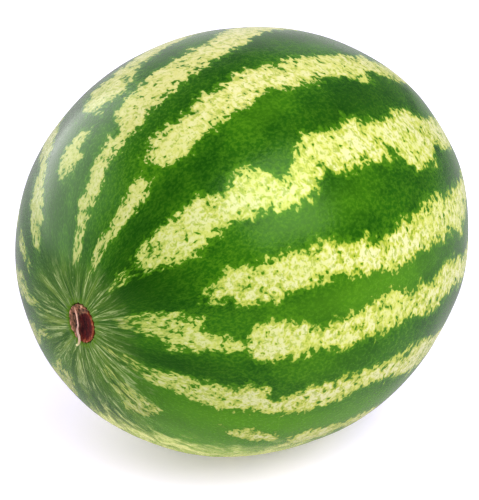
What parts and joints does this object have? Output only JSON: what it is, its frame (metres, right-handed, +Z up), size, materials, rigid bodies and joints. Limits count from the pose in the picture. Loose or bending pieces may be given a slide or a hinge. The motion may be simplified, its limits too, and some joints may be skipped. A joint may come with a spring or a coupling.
{
  "type": "watermelon",
  "caption": "Whole round-oval watermelon lying on its side, dark green rind with ragged pale stripes, brown dried stem scar with a torn fibre at one end.",
  "frame": {"origin": "on the resting surface, under the middle of the melon's bounding box", "axes": "+Z up from the flat spot that it rests on, Y along the fruit's core with the stem end at -Y and the blossom end at +Y, X across"},
  "size_m": [0.264, 0.2964, 0.2545],
  "materials": {
    "rind": "waxy, lightly glossy fruit skin: dark green with ragged pale yellow-green stripes from end to end",
    "dried_stem": "dry, matt, corky red-brown stem tissue",
    "stem_fibre": "dry, matt, straw-coloured stem fibre"
  },
  "bodies": {
    "root": {"fruit": "rind", "stem_scar": "dried_stem", "torn_fibre": "stem_fibre"}
  },
  "joints": []
}
